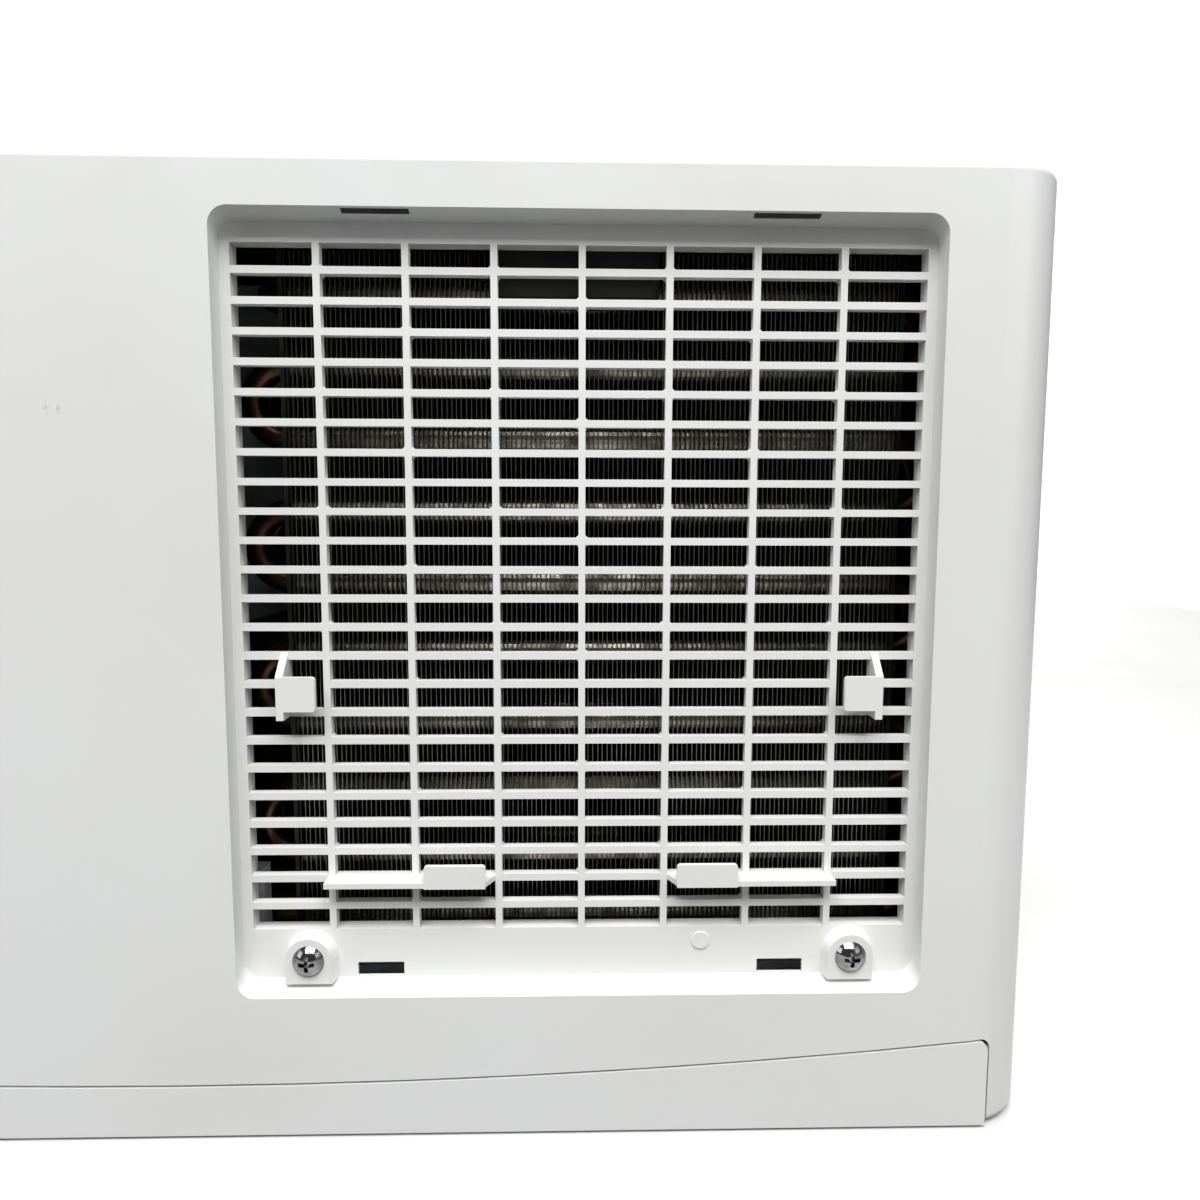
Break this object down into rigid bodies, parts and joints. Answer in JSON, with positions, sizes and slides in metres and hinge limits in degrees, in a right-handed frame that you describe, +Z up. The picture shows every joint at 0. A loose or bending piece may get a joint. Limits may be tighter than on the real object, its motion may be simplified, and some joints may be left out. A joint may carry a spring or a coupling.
{
  "type": "window air conditioner",
  "caption": "Low window air conditioner, inlet cover off: grille over the cooling coil, louvred outlet, control knobs, blower and fan on a shared shaft, compressor and slotted steel case.",
  "frame": {"origin": "centre of the box round the whole unit, at the underside of its feet", "axes": "+X to the right seen from the room, -Y towards the room, +Z up"},
  "size_m": [0.49, 0.36, 0.287],
  "materials": {
    "panel_plastic": "satin moulded plastic",
    "grille_plastic": "satin moulded plastic",
    "louvre_plastic": "satin moulded plastic",
    "control_plastic": "fine texture",
    "knob_plastic": "satin",
    "black_plastic": "fine texture",
    "black_rubber": "matt",
    "zinc_steel": "zinc plated",
    "galvanised_steel": "galvanised sheet",
    "coil_plate_steel": "galvanised sheet",
    "coil_aluminium": "mill finish",
    "copper_tube": "dull copper",
    "tray_plastic": "moulded",
    "insulation_foam": "foam",
    "case_paint": "baked paint",
    "motor_paint": "baked paint",
    "compressor_paint": "gloss paint"
  },
  "bodies": {
    "housing": {"front_panel": "panel_plastic", "inlet_grille": "grille_plastic", "grille_screws": "zinc_steel", "skirt": "panel_plastic", "cord_gland": "black_rubber", "outlet_sleeve": "panel_plastic", "control_fascia": "control_plastic", "mode_switch": "black_plastic", "thermostat": "galvanised_steel", "thermostat_bulb": "copper_tube", "bulb_holder": "black_plastic", "control_box": "galvanised_steel", "capacitor": "coil_aluminium", "evaporator_fins": "coil_aluminium", "evaporator_tubes": "copper_tube", "evaporator_plates": "coil_plate_steel", "drain_tray": "tray_plastic", "coil_seal": "insulation_foam", "scroll_housing": "insulation_foam", "motor": "motor_paint", "motor_bracket": "galvanised_steel", "fan_shroud": "galvanised_steel", "bulkhead": "galvanised_steel", "condenser_fins": "coil_aluminium", "condenser_tubes": "copper_tube", "condenser_plates": "coil_plate_steel", "compressor": "compressor_paint", "compressor_grommets": "black_rubber", "compressor_bolts": "zinc_steel", "accumulator": "compressor_paint", "suction_pipe": "copper_tube", "discharge_pipe": "copper_tube", "filter_drier": "copper_tube", "capillary": "copper_tube", "base_pan": "galvanised_steel", "case_screws": "zinc_steel", "feet": "black_rubber", "outer_case": "case_paint", "rear_guard": "case_paint", "sash_angle": "case_paint"},
    "rotor": {"motor_shaft": "zinc_steel", "blower_wheel": "black_plastic", "condenser_fan": "black_plastic"},
    "mode_dial": {"mode_knob": "knob_plastic"},
    "thermostat_dial": {"thermostat_knob": "knob_plastic"},
    "vent_pull": {"vent_knob": "knob_plastic", "vent_plunger": "zinc_steel"},
    "blade_1": {"louvre_1": "louvre_plastic"},
    "blade_2": {"louvre_2": "louvre_plastic"},
    "blade_3": {"louvre_3": "louvre_plastic"},
    "blade_4": {"louvre_4": "louvre_plastic"},
    "blade_5": {"louvre_5": "louvre_plastic"},
    "blade_bar": {"louvre_link": "louvre_plastic"},
    "fin_1": {"vane_1": "louvre_plastic"},
    "fin_2": {"vane_2": "louvre_plastic"},
    "fin_3": {"vane_3": "louvre_plastic"},
    "fin_4": {"vane_4": "louvre_plastic"},
    "fin_5": {"vane_5": "louvre_plastic"},
    "fin_bar": {"vane_link": "louvre_plastic"}
  },
  "joints": [
    {"name": "rotor_spin", "type": "hinge", "parent": "housing", "child": "rotor", "pos_m": [0.1127, 0, 0.13203], "axis": [0, 1, 0], "continuous": true},
    {"name": "mode_turn", "type": "hinge", "parent": "housing", "child": "mode_dial", "pos_m": [-0.186, -0.166, 0.083], "axis": [0, -1, 0], "range_deg": [-120, 120]},
    {"name": "thermostat_turn", "type": "hinge", "parent": "housing", "child": "thermostat_dial", "pos_m": [-0.13, -0.166, 0.083], "axis": [0, -1, 0], "range_deg": [-135, 135]},
    {"name": "vent_slide", "type": "slide", "parent": "housing", "child": "vent_pull", "axis": [0, -1, 0], "range_m": [0, 0.01]},
    {"name": "louvre_tilt_1", "type": "hinge", "parent": "housing", "child": "blade_1", "pos_m": [-0.218, -0.1675, 0.148], "axis": [1, 0, 0], "range_deg": [-25, 25]},
    {"name": "louvre_tilt_2", "type": "hinge", "parent": "housing", "child": "blade_2", "pos_m": [-0.218, -0.1675, 0.17], "axis": [1, 0, 0], "range_deg": [-25, 25]},
    {"name": "louvre_tilt_3", "type": "hinge", "parent": "housing", "child": "blade_3", "pos_m": [-0.218, -0.1675, 0.192], "axis": [1, 0, 0], "range_deg": [-25, 25]},
    {"name": "louvre_tilt_4", "type": "hinge", "parent": "housing", "child": "blade_4", "pos_m": [-0.218, -0.1675, 0.214], "axis": [1, 0, 0], "range_deg": [-25, 25]},
    {"name": "louvre_tilt_5", "type": "hinge", "parent": "housing", "child": "blade_5", "pos_m": [-0.218, -0.1675, 0.236], "axis": [1, 0, 0], "range_deg": [-25, 25]},
    {"name": "louvre_bar_pin", "type": "hinge", "parent": "blade_1", "child": "blade_bar", "pos_m": [-0.06, -0.1609, 0.148], "axis": [1, 0, 0], "range_deg": [-25, 25]},
    {"name": "vane_turn_1", "type": "hinge", "parent": "housing", "child": "fin_1", "pos_m": [-0.202, -0.145, 0.137], "axis": [0, 0, 1], "range_deg": [-30, 30]},
    {"name": "vane_turn_2", "type": "hinge", "parent": "housing", "child": "fin_2", "pos_m": [-0.17, -0.145, 0.137], "axis": [0, 0, 1], "range_deg": [-30, 30]},
    {"name": "vane_turn_3", "type": "hinge", "parent": "housing", "child": "fin_3", "pos_m": [-0.138, -0.145, 0.137], "axis": [0, 0, 1], "range_deg": [-30, 30]},
    {"name": "vane_turn_4", "type": "hinge", "parent": "housing", "child": "fin_4", "pos_m": [-0.106, -0.145, 0.137], "axis": [0, 0, 1], "range_deg": [-30, 30]},
    {"name": "vane_turn_5", "type": "hinge", "parent": "housing", "child": "fin_5", "pos_m": [-0.074, -0.145, 0.137], "axis": [0, 0, 1], "range_deg": [-30, 30]},
    {"name": "vane_bar_pin", "type": "hinge", "parent": "fin_1", "child": "fin_bar", "pos_m": [-0.202, -0.15, 0.138], "axis": [0, 0, 1], "range_deg": [-30, 30]}
  ],
  "couplings": [
    {"joint": "louvre_tilt_2", "follows": "louvre_tilt_1", "ratio": 1},
    {"joint": "louvre_tilt_3", "follows": "louvre_tilt_1", "ratio": 1},
    {"joint": "louvre_tilt_4", "follows": "louvre_tilt_1", "ratio": 1},
    {"joint": "louvre_tilt_5", "follows": "louvre_tilt_1", "ratio": 1},
    {"joint": "louvre_bar_pin", "follows": "louvre_tilt_1", "ratio": -1},
    {"joint": "vane_turn_2", "follows": "vane_turn_1", "ratio": 1},
    {"joint": "vane_turn_3", "follows": "vane_turn_1", "ratio": 1},
    {"joint": "vane_turn_4", "follows": "vane_turn_1", "ratio": 1},
    {"joint": "vane_turn_5", "follows": "vane_turn_1", "ratio": 1},
    {"joint": "vane_bar_pin", "follows": "vane_turn_1", "ratio": -1}
  ]
}
